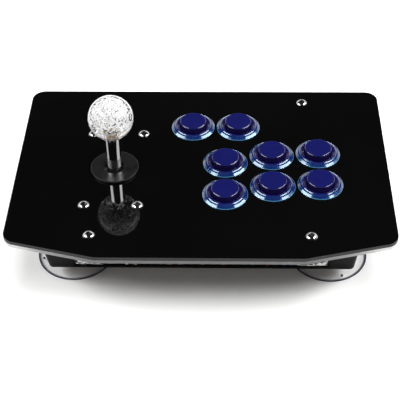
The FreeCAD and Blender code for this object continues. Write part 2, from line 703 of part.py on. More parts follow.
def pivot_ball():
    ball = primitive("Sphere", "pivot_sphere", Radius="Sizes.pivot_radius")
    flange = primitive("Cylinder", "pivot_flange", Radius="Sizes.flange_radius", Height="Sizes.flange_thick",
                       z="-Sizes.flange_top - Sizes.flange_thick")
    waist = "Sizes.shaft_radius + Sizes.pivot_play"
    mouth = f"{waist} + 2 * Sizes.pivot_radius * tan(Sizes.bore_slope)"
    length = "2 * Sizes.pivot_radius"
    upper = primitive("Cone", "bore_upper", Radius1=waist, Radius2=mouth, Height=length)
    lower = primitive("Cone", "bore_lower", Radius1=mouth, Radius2=waist, Height=length, z=f"-{length}")
    solid = combined("Fuse", "pivot_solid", ball, [flange])
    return at_pivot(combined("Cut", "pivot_ball", solid, [upper, lower]))


def spring_seat():
    body = new_body("spring_seat")
    sketch = new_sketch(body, height=BOARD_TOP)
    add_circle(sketch, "Sizes.seat_outer")
    add_circle(sketch, "Sizes.seat_inner")
    pad(body, sketch, "Sizes.seat_thick")
    return at_pivot(body)


def stick_spring():
    foot = f"({BOARD_TOP} + Sizes.seat_thick + Sizes.spring_wire)"
    rise = f"(-Sizes.flange_top - Sizes.flange_thick - Sizes.spring_wire - {foot})"
    coil = primitive("Helix", "spring_line", Radius="Sizes.spring_radius", Height=rise,
                     Pitch=f"{rise} / Sizes.spring_turns", z=foot)
    wire = primitive("RegularPolygon", "spring_section", Circumradius="Sizes.spring_wire",
                     Polygon="Sizes.spring_flats", z=foot)
    wire.setExpression("Placement.Base.x", "Sizes.spring_radius")
    wire.Placement.Rotation = FreeCAD.Rotation(FreeCAD.Vector(1, 0, 0), 90)
    doc.recompute()
    sweep = doc.addObject("Part::Sweep", "stick_spring")
    sweep.Sections = [wire]
    sweep.Spine = (coil, [f"Edge{i + 1}" for i in range(len(coil.Shape.Edges))])
    sweep.Solid = True
    sweep.Frenet = True
    sweep.Label = "stick_spring"
    return at_pivot(sweep)


def stick_shaft():
    body = new_body("stick_shaft")
    top = f"{BALL_FOOT} + Sizes.thread_length"
    groove_top = "-Sizes.clip_drop"
    groove_low = "-Sizes.clip_drop - Sizes.clip_thick - Sizes.press_play"
    turned(body, [
        ("0", "-Sizes.tail_drop"), ("Sizes.tail_radius", "-Sizes.tail_drop"),
        ("Sizes.tail_radius", groove_low), ("Sizes.clip_groove", groove_low),
        ("Sizes.clip_groove", groove_top), ("Sizes.tail_radius", groove_top),
        ("Sizes.tail_radius", "-Sizes.shoulder_drop"), ("Sizes.shaft_radius", "-Sizes.shoulder_drop"),
        ("Sizes.shaft_radius", BALL_FOOT), ("Sizes.thread_radius", BALL_FOOT), ("Sizes.thread_radius", top),
        ("0", top),
    ])
    return at_pivot(body)


def sleeve(label, corners):
    body = new_body(label)
    turned(body, corners)
    return at_pivot(body)


def shaft_cover():
    inner = "Sizes.shaft_radius + Sizes.cover_play"
    return sleeve("shaft_cover", [
        (inner, "Sizes.cover_start"), ("Sizes.cover_radius", "Sizes.cover_start"),
        ("Sizes.cover_radius", BALL_FOOT), (inner, BALL_FOOT),
    ])


def ball_bush():
    inner = "Sizes.thread_radius + Sizes.press_play"
    top = f"{BALL_FOOT} + Sizes.brass_length"
    return sleeve("ball_bush", [
        (inner, BALL_FOOT), ("Sizes.brass_radius", BALL_FOOT), ("Sizes.brass_radius", top), (inner, top),
    ])


def ball_top():
    ball = primitive("Sphere", "ball_sphere", Radius="Sizes.ball_radius", z="Sizes.ball_rise")
    flat = primitive("Cylinder", "ball_foot", Radius="Sizes.ball_radius", Height="Sizes.ball_radius",
                     z=f"{BALL_FOOT} - Sizes.ball_radius")
    bore = primitive("Cylinder", "ball_bore", Radius="Sizes.brass_radius + Sizes.press_play",
                     Height="Sizes.brass_length + Sizes.press_play", z=BALL_FOOT)
    return at_pivot(combined("Cut", "ball_top", ball, [flat, bore]))


def stick_actuator():
    inner = "Sizes.tail_radius + Sizes.press_play"
    foot = "-Sizes.clip_drop"
    return sleeve("stick_actuator", [
        (inner, foot), ("Sizes.nose_radius", foot), ("Sizes.nose_radius", "-Sizes.nose_start"),
        ("Sizes.actuator_radius", "-Sizes.nose_start"), ("Sizes.actuator_radius", "-Sizes.shoulder_drop"),
        (inner, "-Sizes.shoulder_drop"),
    ])


def stick_clip():
    body = new_body("stick_clip")
    sketch = new_sketch(body, height="-Sizes.clip_drop - Sizes.clip_thick")
    add_circle(sketch, "Sizes.clip_radius")
    add_circle(sketch, "Sizes.clip_groove + Sizes.press_play")
    pad(body, sketch, "Sizes.clip_thick")
    mouth = new_sketch(body, height="-Sizes.clip_drop - Sizes.clip_thick")
    add_rectangle(mouth, "-Sizes.clip_mouth", "0", "Sizes.clip_mouth", "Sizes.clip_radius")
    pocket(body, mouth, "Sizes.clip_thick", upward=True)
    return at_pivot(body)


def stick_board():
    body = new_body("stick_board")
    sketch = new_sketch(body, height=BOARD_UNDER)
    half = "Sizes.housing_width / 2"
    add_rectangle(sketch, f"-{half}", f"-{half}", half, f"{half} + Sizes.board_tail")
    add_circle(sketch, "Sizes.board_hole")
    pad(body, sketch, "Sizes.board_thick")
    return at_pivot(body)


def stick_switch(name, quarter):
    body = new_body(f"stick_switch_{name}")
    sketch = new_sketch(body, height=f"{BOARD_UNDER} - Sizes.switch_tall")
    half = "Sizes.switch_long / 2"
    outer = "Sizes.switch_start + Sizes.switch_wide"
    add_rectangle(sketch, "Sizes.switch_start", f"-{half}", outer, half)
    pad(body, sketch, "Sizes.switch_tall")
    pin_sketch = new_sketch(body, height=f"{BOARD_UNDER} - Sizes.pin_drop")
    add_rectangle(pin_sketch, "Sizes.switch_start - Sizes.switch_pin", "-Sizes.pin_width",
                  "Sizes.switch_start", "0")
    pad(body, pin_sketch, "Sizes.pin_tall")
    holes = new_sketch(body, height=BOARD_UNDER)
    for end in ("-", ""):
        add_circle(holes, "Sizes.switch_hole", "Sizes.switch_start + Sizes.switch_hole_in",
                   f"{end}Sizes.switch_hole_space")
    pocket(body, holes)
    body.Placement.Rotation = FreeCAD.Rotation(FreeCAD.Vector(0, 0, 1), 90 * quarter)
    return at_pivot(body)


def wire_header(name, x, y, z):
    # A shrouded plug socket: a box with an open trough for the contacts.
    body = new_body(name)
    sketch = new_sketch(body)
    half_x = "Sizes.header_long / 2"
    half_y = "Sizes.header_wide / 2"
    add_rectangle(sketch, f"-{half_x}", f"-{half_y}", half_x, half_y)
    pad(body, sketch, "Sizes.header_tall")
    trough = new_sketch(body, height="Sizes.header_tall")
    skin = "Sizes.header_skin"
    inner_x = f"({half_x} - {skin})"
    inner_y = f"({half_y} - {skin})"
    add_rectangle(trough, f"-{inner_x}", f"-{inner_y}", inner_x, inner_y)
    pocket(body, trough, "Sizes.header_tall - Sizes.header_base")
    place(body, x, y, z)
    return body


def restrictor_gate():
    body = new_body("restrictor_gate")
    depth = "(Sizes.switch_tall + Sizes.gate_floor + Sizes.pivot_play)"
    sketch = new_sketch(body, height=f"{BOARD_UNDER} - {depth}")
    add_square(sketch, "Sizes.housing_width / 2")
    pad(body, sketch, depth)
    round_edges(body, is_upright, "Sizes.housing_corner")
    tray = new_sketch(body, height=BOARD_UNDER)
    add_square(tray, "Sizes.housing_width / 2 - Sizes.gate_wall")
    pocket(body, tray, "Sizes.switch_tall + Sizes.pivot_play")
    opening = new_sketch(body, height=BOARD_UNDER)
    add_square(opening, "Sizes.gate_half")
    pocket(body, opening)
    return at_pivot(body)


def dust_washer():
    body = new_body("dust_washer")
    edge = "Sizes.washer_edge"
    turned(body, [
        ("Sizes.washer_hole", "0"), ("Sizes.washer_radius", "0"),
        ("Sizes.washer_radius", f"Sizes.washer_thick - {edge}"),
        (f"Sizes.washer_radius - {edge}", "Sizes.washer_thick"),
        (f"Sizes.washer_hole + {edge}", "Sizes.washer_thick"),
        ("Sizes.washer_hole", f"Sizes.washer_thick - {edge}"),
    ])
    place(body, "Sizes.stick_x", "Sizes.stick_y", PANEL_TOP)
    return keep(body)


# Buttons: the pieces have their zero height at the panel's top
def at_button(piece, spot):
    x, y = spot
    place(piece, x, y, PANEL_TOP)
    return piece


def button_body(number, spot):
    body = new_body(f"button_body_{number}")
    guide = "Sizes.plunger_radius + Sizes.plunger_play"
    inner = "Sizes.barrel_radius - Sizes.barrel_wall"
    floor_top = "Sizes.barrel_floor - Sizes.barrel_length"
    turned(body, [
        ("0", "-Sizes.barrel_length"), ("Sizes.barrel_radius", "-Sizes.barrel_length"),
        ("Sizes.barrel_radius", "0"), ("Sizes.rim_radius", "0"), ("Sizes.rim_radius", "Sizes.rim_edge"),
        ("Sizes.rim_crown", "Sizes.rim_height"), ("Sizes.rim_crown - Sizes.rim_land", "Sizes.rim_height"),
        (guide, "Sizes.rim_height - Sizes.rim_dish"), (guide, "-Sizes.guide_depth"),
        (inner, "-Sizes.guide_depth"), (inner, floor_top), ("0", floor_top),
    ])
    opening = new_sketch(body, height=floor_top)
    add_square(opening, "Sizes.key_width / 2 + Sizes.key_play")
    pocket(body, opening)
    return keep(at_button(body, spot))


def button_plunger(number, spot):
    body = new_body(f"button_plunger_{number}")
    shoulder = "-Sizes.guide_depth - Sizes.plunger_play"
    foot = f"{shoulder} - Sizes.hook_height"
    inner = "Sizes.plunger_radius - Sizes.plunger_wall"
    ceiling = "Sizes.plunger_rise - Sizes.plunger_crown"
    stem_foot = "Sizes.barrel_floor - Sizes.barrel_length + Sizes.key_rise - Sizes.stem_dip"
    turned(body, [
        ("0", "Sizes.plunger_rise"), ("Sizes.plunger_radius", "Sizes.plunger_rise"),
        ("Sizes.plunger_radius", shoulder), ("Sizes.plunger_radius + Sizes.hook_reach", shoulder),
        ("Sizes.plunger_radius + Sizes.hook_reach", foot), (inner, foot), (inner, ceiling),
        ("Sizes.stem_radius", ceiling), ("Sizes.stem_radius", stem_foot), ("0", stem_foot),
    ])
    crown = circle_at(value("Sizes.plunger_radius"), value("Sizes.plunger_rise"))
    round_edges(body, crown, "Sizes.plunger_round")
    slots = new_sketch(body, height=foot)
    far = "Sizes.plunger_radius + 2 * Sizes.hook_reach"
    near = "Sizes.plunger_radius / 2"
    half = "Sizes.hook_width / 2"
    add_rectangle(slots, f"-({far})", f"-{half}", f"-{near}", half)
    add_rectangle(slots, near, f"-{half}", far, half)
    pocket(body, slots, "Sizes.hook_height + Sizes.plunger_play", upward=True)
    return keep(at_button(body, spot))


def button_switch(number, spot):
    body = new_body(f"button_switch_{number}")
    seat = "Sizes.barrel_floor - Sizes.barrel_length"
    foot = "-Sizes.barrel_length - Sizes.key_drop"
    case = new_sketch(body, height=foot)
    add_square(case, "Sizes.key_width / 2")
    pad(body, case, "Sizes.key_drop + Sizes.barrel_floor + Sizes.key_rise")
    lip = new_sketch(body, height=seat)
    add_square(lip, "Sizes.key_width / 2 + Sizes.key_lip")
    pad(body, lip, "Sizes.key_lip_thick")
    well = new_sketch(body, height=f"{seat} + Sizes.key_rise")
    add_circle(well, "Sizes.stem_radius + Sizes.well_play")
    pocket(body, well, "Sizes.key_well")
    blades = new_sketch(body, height=f"{foot} - Sizes.blade_long")
    for x in ("-Sizes.blade_space", "Sizes.blade_space"):
        add_rectangle(blades, f"{x} - Sizes.blade_thick / 2", "-Sizes.blade_wide / 2",
                      f"{x} + Sizes.blade_thick / 2", "Sizes.blade_wide / 2")
    pad(body, blades, "Sizes.blade_long")
    return keep(at_button(body, spot))


def button_nut(number, spot):
    body = new_body(f"button_nut_{number}")
    under = "-Sizes.top_thick - Sizes.under_thick - Sizes.ring_height"
    sketch = new_sketch(body, height=under)
    add_circle(sketch, "Sizes.ring_radius")
    add_circle(sketch, "Sizes.barrel_radius + Sizes.ring_play")
    pad(body, sketch, "Sizes.ring_height")
    grips = new_sketch(body, height=under)
    half = "Sizes.ring_notch"
    inner = "Sizes.ring_radius - Sizes.ring_notch"
    outer = "Sizes.ring_radius + Sizes.ring_notch"
    add_rectangle(grips, f"-{half}", inner, half, outer)
    add_rectangle(grips, f"-{half}", f"-({outer})", half, f"-({inner})")
    add_rectangle(grips, inner, f"-{half}", outer, half)
    add_rectangle(grips, f"-({outer})", f"-{half}", f"-({inner})", half)
    pocket(body, grips, upward=True)
    return at_button(body, spot)


# Encoder board in the base
def encoder_board():
    body = new_body("encoder_board")
    sketch = new_sketch(body)
    half_x = "Sizes.encoder_long / 2"
    half_y = "Sizes.encoder_wide / 2"
    add_rectangle(sketch, f"-{half_x}", f"-{half_y}", half_x, half_y)
    hole = "Sizes.post_hole + Sizes.press_play"
    for side in ("-", ""):
        for end in ("-", ""):
            add_circle(sketch, hole, f"{side}Sizes.post_x", f"{end}Sizes.post_y")
    pad(body, sketch, "Sizes.board_thick")
    place(body, "Sizes.encoder_x", ENCODER_Y, POST_TOP)
    return keep(body)


def controller_chip(top):
    body = new_body("controller_chip")
    sketch = new_sketch(body)
    add_square(sketch, "Sizes.chip_size / 2")
    pad(body, sketch, "Sizes.chip_tall")
    place(body, "Sizes.encoder_x", ENCODER_Y, top)
    return keep(body)


panel_sheet("under_panel", "Sizes.under_thick", SEAT)
panel_sheet("top_panel", "Sizes.top_thick", f"{SEAT} + Sizes.under_thick")
base_tub()
front_trim()
cable_grommet()
for name, (x, y) in foot_places.items():
    suction_foot(f"suction_foot_{name}", x, y)

panel_bolt = "Sizes.top_thick + Sizes.under_thick + Sizes.insert_length + Sizes.bolt_past"
stick_bolt = "Sizes.top_thick + Sizes.under_thick + Sizes.plate_thick + Sizes.nut_height + Sizes.bolt_past"
group("panel_screws", [button_head_bolt(f"panel_screw_{i}", panel_bolt, x, y)
                       for i, (x, y) in enumerate(panel_screw_places)])
group("panel_inserts", [brass_insert(f"panel_insert_{i}", x, y)
                        for i, (x, y) in enumerate(panel_screw_places)])
group("stick_screws", [button_head_bolt(f"stick_screw_{i}", stick_bolt, x, y)
                       for i, (x, y) in enumerate(stick_bolt_places)])
group("stick_nuts", [bolt_nut(f"stick_nut_{i}", x, y) for i, (x, y) in enumerate(stick_bolt_places)])

stick_plate()
stick_housing()
pivot_ball()
spring_seat()
stick_spring()
stick_shaft()
shaft_cover()
ball_bush()
ball_top()
dust_washer()
stick_actuator()
stick_clip()
stick_board()
for quarter, name in enumerate(("right", "back", "left", "front")):
    stick_switch(name, quarter)
tail_y = "Sizes.stick_y + Sizes.housing_width / 2 + Sizes.board_tail / 2"
restrictor_gate()

for number, spot in enumerate(button_places, start=1):
    button_body(number, spot)
    button_plunger(number, spot)
    button_switch(number, spot)
group("button_nuts", [button_nut(number, spot)
                      for number, spot in enumerate(button_places, start=1)])

encoder_board()
encoder_top = f"{POST_TOP} + Sizes.board_thick"
controller_chip(encoder_top)
header_places = [("Sizes.stick_x", tail_y, f"{PIVOT} + {BOARD_TOP}")]
header_places += [
    ("Sizes.encoder_x", f"{ENCODER_Y} {end} (Sizes.encoder_wide - Sizes.header_wide) / 2", encoder_top)
    for end in ("-", "+")
]
group("wire_headers", [wire_header(f"wire_header_{i}", *spot) for i, spot in enumerate(header_places)])
group("board_screws", [board_tack(f"board_screw_{i}", x, y) for i, (x, y) in enumerate(post_places)])

doc.recompute()
for item in doc.Objects:
    if "Invalid" in item.State or "Error" in item.State:
        raise RuntimeError(f"{item.Label} failed: {item.State}")
for piece in pieces:
    if piece.Shape.isNull() or not piece.Shape.isValid() or not piece.Shape.Solids:
        raise RuntimeError(f"{piece.Label} has no sound solid")

os.makedirs("parts", exist_ok=True)
for piece in pieces:
    piece.Shape.exportStep(f"parts/{piece.Label}.step")
print(len(pieces), "sub-parts written")
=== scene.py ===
import json
import math
import random

import bpy
from mathutils import Matrix, Vector

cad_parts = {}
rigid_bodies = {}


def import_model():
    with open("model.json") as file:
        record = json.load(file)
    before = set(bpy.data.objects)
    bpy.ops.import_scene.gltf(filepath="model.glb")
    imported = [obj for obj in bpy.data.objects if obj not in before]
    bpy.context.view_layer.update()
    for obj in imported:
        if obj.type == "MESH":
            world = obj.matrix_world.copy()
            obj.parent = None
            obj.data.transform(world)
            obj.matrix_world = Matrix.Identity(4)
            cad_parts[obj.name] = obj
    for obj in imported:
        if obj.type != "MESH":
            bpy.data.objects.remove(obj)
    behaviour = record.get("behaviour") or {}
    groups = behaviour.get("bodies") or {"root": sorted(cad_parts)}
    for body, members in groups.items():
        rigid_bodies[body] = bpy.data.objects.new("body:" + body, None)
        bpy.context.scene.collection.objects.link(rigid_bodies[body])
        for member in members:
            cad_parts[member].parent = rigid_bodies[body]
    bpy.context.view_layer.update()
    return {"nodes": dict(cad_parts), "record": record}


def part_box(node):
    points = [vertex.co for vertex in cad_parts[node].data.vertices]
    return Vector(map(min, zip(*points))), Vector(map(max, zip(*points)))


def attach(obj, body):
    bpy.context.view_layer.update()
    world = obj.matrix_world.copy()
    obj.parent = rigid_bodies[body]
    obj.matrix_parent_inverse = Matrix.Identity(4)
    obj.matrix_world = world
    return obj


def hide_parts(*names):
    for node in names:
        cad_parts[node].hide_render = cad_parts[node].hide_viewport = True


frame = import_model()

nodes = frame["nodes"]
mm = 0.001
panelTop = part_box("top_panel")[1].z
# In mm: corners this close are merged, and what lies on the panel sits this far above it
weld = 0.002
seatGap = 0.02
print("frame loaded:", len(nodes), "pieces")


# Small helpers for working in object and edit mode
def startFresh():
    if bpy.context.mode != "OBJECT":
        bpy.ops.object.mode_set(mode="OBJECT")
    bpy.ops.object.select_all(action="DESELECT")


def pick(piece):
    startFresh()
    piece.select_set(True)
    bpy.context.view_layer.objects.active = piece


def named(name):
    # Names the new object and its mesh, and leaves no transform on it
    piece = bpy.context.object
    piece.name = name
    piece.data.name = name
    bpy.ops.object.transform_apply(location=True, rotation=True, scale=True)
    return piece


def editAll(piece):
    pick(piece)
    bpy.ops.object.mode_set(mode="EDIT")
    bpy.ops.mesh.select_all(action="SELECT")


def closeUp(piece, smooth=32):
    # Merges doubles, turns the faces outwards and smooths all but the sharp edges
    editAll(piece)
    bpy.ops.mesh.remove_doubles(threshold=weld * mm)
    bpy.ops.mesh.normals_make_consistent(inside=False)
    bpy.ops.object.mode_set(mode="OBJECT")
    bpy.ops.object.shade_smooth_by_angle(angle=math.radians(smooth))
    return piece


def applyModifiers(piece):
    pick(piece)
    for modifier in list(piece.modifiers):
        bpy.ops.object.modifier_apply(modifier=modifier.name)


def held(outline, least=0.5, near=0.05):
    # Adds a ring close to each end of a long straight run, so that it shades straight
    points = [outline[0]]
    for start, end in zip(outline, outline[1:]):
        run = math.dist(start, end)
        if run > least:
            for part in (near / run, 1 - near / run):
                points.append(tuple(a + (b - a) * part for a, b in zip(start, end)))
        points.append(end)
    return points


def turnOutline(name, middle, outline, sides, ends):
    # A turned piece: a circle is extruded and resized along (radius, height) pairs in mm
    startFresh()
    outline = held(outline)
    radius, height = outline[0]
    start = (middle[0], middle[1], middle[2] + height * mm)
    bpy.ops.mesh.primitive_circle_add(vertices=sides, radius=radius * mm, location=start)
    piece = named(name)
    editAll(piece)
    for nextRadius, nextHeight in outline[1:]:
        rise = (nextHeight - height) * mm
        grow = nextRadius / radius
        bpy.ops.mesh.extrude_edges_move(TRANSFORM_OT_translate={"value": (0, 0, rise)})
        bpy.ops.transform.resize(value=(grow, grow, 1), center_override=middle)
        radius, height = nextRadius, nextHeight
    bpy.ops.mesh.select_all(action="DESELECT")
    bpy.ops.mesh.select_mode(type="EDGE")
    bpy.ops.mesh.select_non_manifold()
    if ends == "loop":
        bpy.ops.mesh.bridge_edge_loops()
    else:
        bpy.ops.mesh.fill_holes(sides=0)
    return closeUp(piece)


def arc(centre, reach, first, last, steps):
    # Points of an ellipse arc in (radius, height), angles in degrees from straight out
    points = []
    for step in range(steps + 1):
        turn = math.radians(first + (last - first) * step / steps)
        points.append((centre[0] + reach[0] * math.cos(turn), centre[1] + reach[1] * math.sin(turn)))
    return points


def boxTool(place, size):
    startFresh()
    bpy.ops.mesh.primitive_cube_add(size=1, location=place, scale=size)
    tool = bpy.context.object
    bpy.ops.object.transform_apply(location=True, rotation=True, scale=True)
    return tool


def rodTool(place, radius, depth, sides):
    startFresh()
    bpy.ops.mesh.primitive_cylinder_add(vertices=sides, radius=radius, depth=depth, location=place)
    return bpy.context.object


def cutWith(piece, tool):
    cut = piece.modifiers.new("cut", "BOOLEAN")
    cut.operation = "DIFFERENCE"
    cut.solver = "EXACT"
    cut.object = tool
    applyModifiers(piece)
    bpy.data.objects.remove(tool, do_unlink=True)
    return closeUp(piece)


def copyTo(piece, name, shift):
    pick(piece)
    bpy.ops.object.duplicate(linked=False)
    bpy.ops.transform.translate(value=shift)
    return named(name)


def joined(name, parts):
    startFresh()
    for part in parts:
        part.select_set(True)
    bpy.context.view_layer.objects.active = parts[0]
    bpy.ops.object.join()
    return named(name)


def dress(piece, material, body, node):
    piece.data.materials.clear()
    piece.data.materials.append(material)
    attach(piece, body)
    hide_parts(node)


def middleOf(node, height):
    low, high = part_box(node)
    return Vector(((low.x + high.x) / 2, (low.y + high.y) / 2, height))


def reachOf(spot, axis):
    # Distance in mm from an upright axis
    return (spot.xy - axis.xy).length / mm


def markCorners(piece, name, valueAt):
    # Stores a value at each corner, under a name that a material reads
    mark = piece.data.attributes.new(name, "FLOAT", "POINT")
    for corner, value in zip(piece.data.vertices, mark.data):
        value.value = valueAt(corner.co)


# Places of the ball, which its finish and its mesh share
ballLow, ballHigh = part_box("ball_top")
ballRadius = (ballHigh.x - ballLow.x) / 2
ballCentre = middleOf("ball_top", ballHigh.z - ballRadius)
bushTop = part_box("ball_bush")[1].z


# Small helpers for material nodes; most give back the socket that carries their result
def setInputs(tree, node, sources):
    # A socket is linked to the input, a plain value is set on it
    for name, source in sources.items():
        if isinstance(source, bpy.types.NodeSocket):
            tree.links.new(source, node.inputs[name])
        else:
            node.inputs[name].default_value = source


def addNode(tree, kind, sources=None):
    node = tree.nodes.new("ShaderNode" + kind)
    setInputs(tree, node, sources or {})
    return node


def calc(tree, operation, *sources):
    node = addNode(tree, "Math", dict(enumerate(sources)))
    node.operation = operation
    return node.outputs["Value"]


def dotWith(tree, source, way):
    node = addNode(tree, "VectorMath", {0: source, 1: way})
    node.operation = "DOT_PRODUCT"
    return node.outputs["Value"]


def component(tree, space, axis):
    place = addNode(tree, "TexCoord").outputs[space]
    return addNode(tree, "SeparateXYZ", {"Vector": place}).outputs[axis]


def objectPlace(tree, scale, shift=(0, 0, 0)):
    place = addNode(tree, "TexCoord").outputs["Object"]
    return addNode(tree, "Mapping", {"Vector": place, "Scale": scale, "Location": shift}).outputs["Vector"]


def noiseField(tree, scale, detail=2, stretch=(1, 1, 1)):
    place = objectPlace(tree, stretch)
    return addNode(tree, "TexNoise", {"Vector": place, "Scale": scale, "Detail": detail}).outputs["Fac"]


def attribute(tree, name):
    node = addNode(tree, "Attribute")
    node.attribute_name = name
    return node.outputs["Fac"]


def remap(tree, source, reach, result=(0.0, 1.0)):
    node = addNode(tree, "MapRange", {"Value": source, "From Min": reach[0], "From Max": reach[1]})
    setInputs(tree, node, {"To Min": result[0], "To Max": result[1]})
    return node.outputs["Result"]


def ramp(tree, source, stops, interpolation="LINEAR"):
    node = addNode(tree, "ValToRGB", {"Fac": source})
    node.color_ramp.interpolation = interpolation
    elements = node.color_ramp.elements
    while len(elements) < len(stops):
        elements.new(1.0)
    for element, (position, colour) in zip(elements, stops):
        element.position = position
        element.color = (*colour, 1)
    return node.outputs["Color"]


def mixColours(tree, factor, first, second):
    node = addNode(tree, "Mix")
    node.data_type = "RGBA"
    setInputs(tree, node, {"Factor": factor, "A": first, "B": second})
    return node.outputs["Result"]


# Noise fields lie mostly in this range
fieldReach = (0.3, 0.7)


def spread(tree, field, low, high):
    return remap(tree, field, fieldReach, (low, high))


def tint(tree, field, dark, light):
    return ramp(tree, field, list(zip(fieldReach, (dark, light))))


def bumps(tree, field, strength, depth):
    sources = {"Height": field, "Strength": strength, "Distance": depth * mm}
    return addNode(tree, "Bump", sources).outputs["Normal"]


# Materials
def newFinish(name):
    material = bpy.data.materials.new(name)
    material.use_nodes = True
    shader = material.node_tree.nodes["Principled BSDF"]
    shader.inputs["IOR"].default_value = 1.5
    return material, material.node_tree, shader


def blackAcrylic():
    # Mirror-gloss faces and duller sawn edges
    material, tree, shader = newFinish("black_acrylic")
    haze = noiseField(tree, 9, 3)
    flat = calc(tree, "ABSOLUTE", component(tree, "Normal", "Z"))
    setInputs(tree, shader, {
        "Base Color": tint(tree, haze, (0.001, 0.001, 0.0011), (0.0015, 0.0015, 0.0016)),
        "Roughness": spread(tree, flat, 0.45, 0.02),
        "Specular IOR Level": 0.32,
    })
    return material


def clearAcrylic():
    # Polished faces and frosted sawn edges; the edges carry painted shade, grey in the middle where the floor
    # under the panel lies in shadow, and painted light, pale towards the overhanging ends where the lit floor
    # shows through
    material, tree, shader = newFinish("clear_acrylic")
    flat = calc(tree, "ABSOLUTE", component(tree, "Normal", "Z"))
    outward = calc(tree, "ABSOLUTE", component(tree, "Object", "X"))
    # Painted shade and painted light on the sawn edges, set by the distance from the middle
    edge = ramp(tree, remap(tree, outward, (0.08, 0.14)), [
        (0.0, (0.14, 0.143, 0.143)),
        (0.33, (0.25, 0.254, 0.254)),
        (0.6, (0.4, 0.405, 0.405)),
        (0.85, (0.84, 0.85, 0.85)),
    ])
    setInputs(tree, shader, {
        "Base Color": mixColours(tree, flat, edge, (0.93, 0.96, 0.965, 1)),
        "Transmission Weight": spread(tree, flat, 0.35, 1.0),
        "Roughness": spread(tree, flat, 0.3, 0.03),
        "IOR": 1.49,
    })
    return material


def blackBase():
    # Dull moulded plastic with a fine grain
    material, tree, shader = newFinish("black_base")
    patch = noiseField(tree, 30, 3)
    setInputs(tree, shader, {
        "Base Color": tint(tree, patch, (0.0016, 0.0016, 0.0018), (0.0028, 0.0028, 0.003)),
        "Roughness": spread(tree, patch, 0.3, 0.4),
        "Specular IOR Level": 0.015,
        "Normal": bumps(tree, noiseField(tree, 1500), 0.25, 0.06),
    })
    return material


def printedTrim():
    # Shards of white, greys and black, pale at both ends; the middle is nearly black with a few coloured ones
    material, tree, shader = newFinish("printed_trim")
    shards = addNode(tree, "TexVoronoi", {
        "Vector": objectPlace(tree, (1.0, 1.0, 1.25)), "Scale": 460, "Randomness": 1.0})
    chance = addNode(tree, "SeparateColor", {"Color": shards.outputs["Color"]}).outputs
    outward = calc(tree, "ABSOLUTE", component(tree, "Object", "X"))
    middle = remap(tree, outward, (0.07, 0.088), (0.68, 0.0))
    greys = ramp(tree, calc(tree, "ADD", chance["Red"], middle), [
        (0.0, (0.78, 0.78, 0.79)),
        (0.3, (0.42, 0.43, 0.45)),
        (0.5, (0.9, 0.9, 0.9)),
        (0.68, (0.012, 0.012, 0.014)),
    ], "CONSTANT")
    accents = ramp(tree, chance["Green"], [
        (0.0, (0.3, 0.1, 0.03)),
        (0.4, (0.06, 0.16, 0.09)),
        (0.7, (0.04, 0.09, 0.22)),
    ], "CONSTANT")
    rare = calc(tree, "GREATER_THAN", chance["Blue"], 0.9)
    setInputs(tree, shader, {
        "Base Color": mixColours(tree, calc(tree, "MULTIPLY", rare, middle), greys, accents),
        "Roughness": 0.16,
    })
    return material


def brightScrews():
    # Bright plating; painted shade makes it dark down in the socket
    material, tree, shader = newFinish("bright_screws")
    socket = attribute(tree, "socket")
    setInputs(tree, shader, {
        "Base Color": tint(tree, socket, (0.45, 0.45, 0.46), (0.05, 0.05, 0.055)),
        "Roughness": spread(tree, noiseField(tree, 400, 3), 0.08, 0.16),
        "Metallic": 1.0,
    })
    return material


def metalFinish(name, grain, roughness, dark, light=None):
    # Turned, plated or drawn metal; with two colours, its colour varies with the grain
    material, tree, shader = newFinish(name)
    field = noiseField(tree, **grain)
    setInputs(tree, shader, {
        "Base Color": tint(tree, field, dark, light) if light else (*dark, 1),
        "Roughness": spread(tree, field, *roughness),
        "Metallic": 1.0,
    })
    return material


def mouldedFinish(name, roughness, dark, light):
    # Plain moulded plastic or rubber with a fine grain
    material, tree, shader = newFinish(name)
    patch = noiseField(tree, 60)
    setInputs(tree, shader, {
        "Base Color": tint(tree, patch, dark, light),
        "Roughness": spread(tree, patch, *roughness),
        "Normal": bumps(tree, noiseField(tree, 1200), 0.2, 0.05),
    })
    return material


# The ball's gaps: three directions from its centre, and the noise at which a gap opens; the upper direction
# sets where the gaps take painted shade
gaps = {"waist": (0.1, -0.72, 0.68), "foot": (0.12, -0.62, -0.77), "upper": (0, 0.3, 0.95),
        "open": (0.58, 0.63), "least": 0.1}


def openings(tree, field, where, reach, push):
    # Clear gaps where a noise field, pushed up or down by place, passes a threshold
    pushed = calc(tree, "ADD", field, remap(tree, where, reach, push))
    return remap(tree, pushed, gaps["open"], (gaps["least"], 1.0))


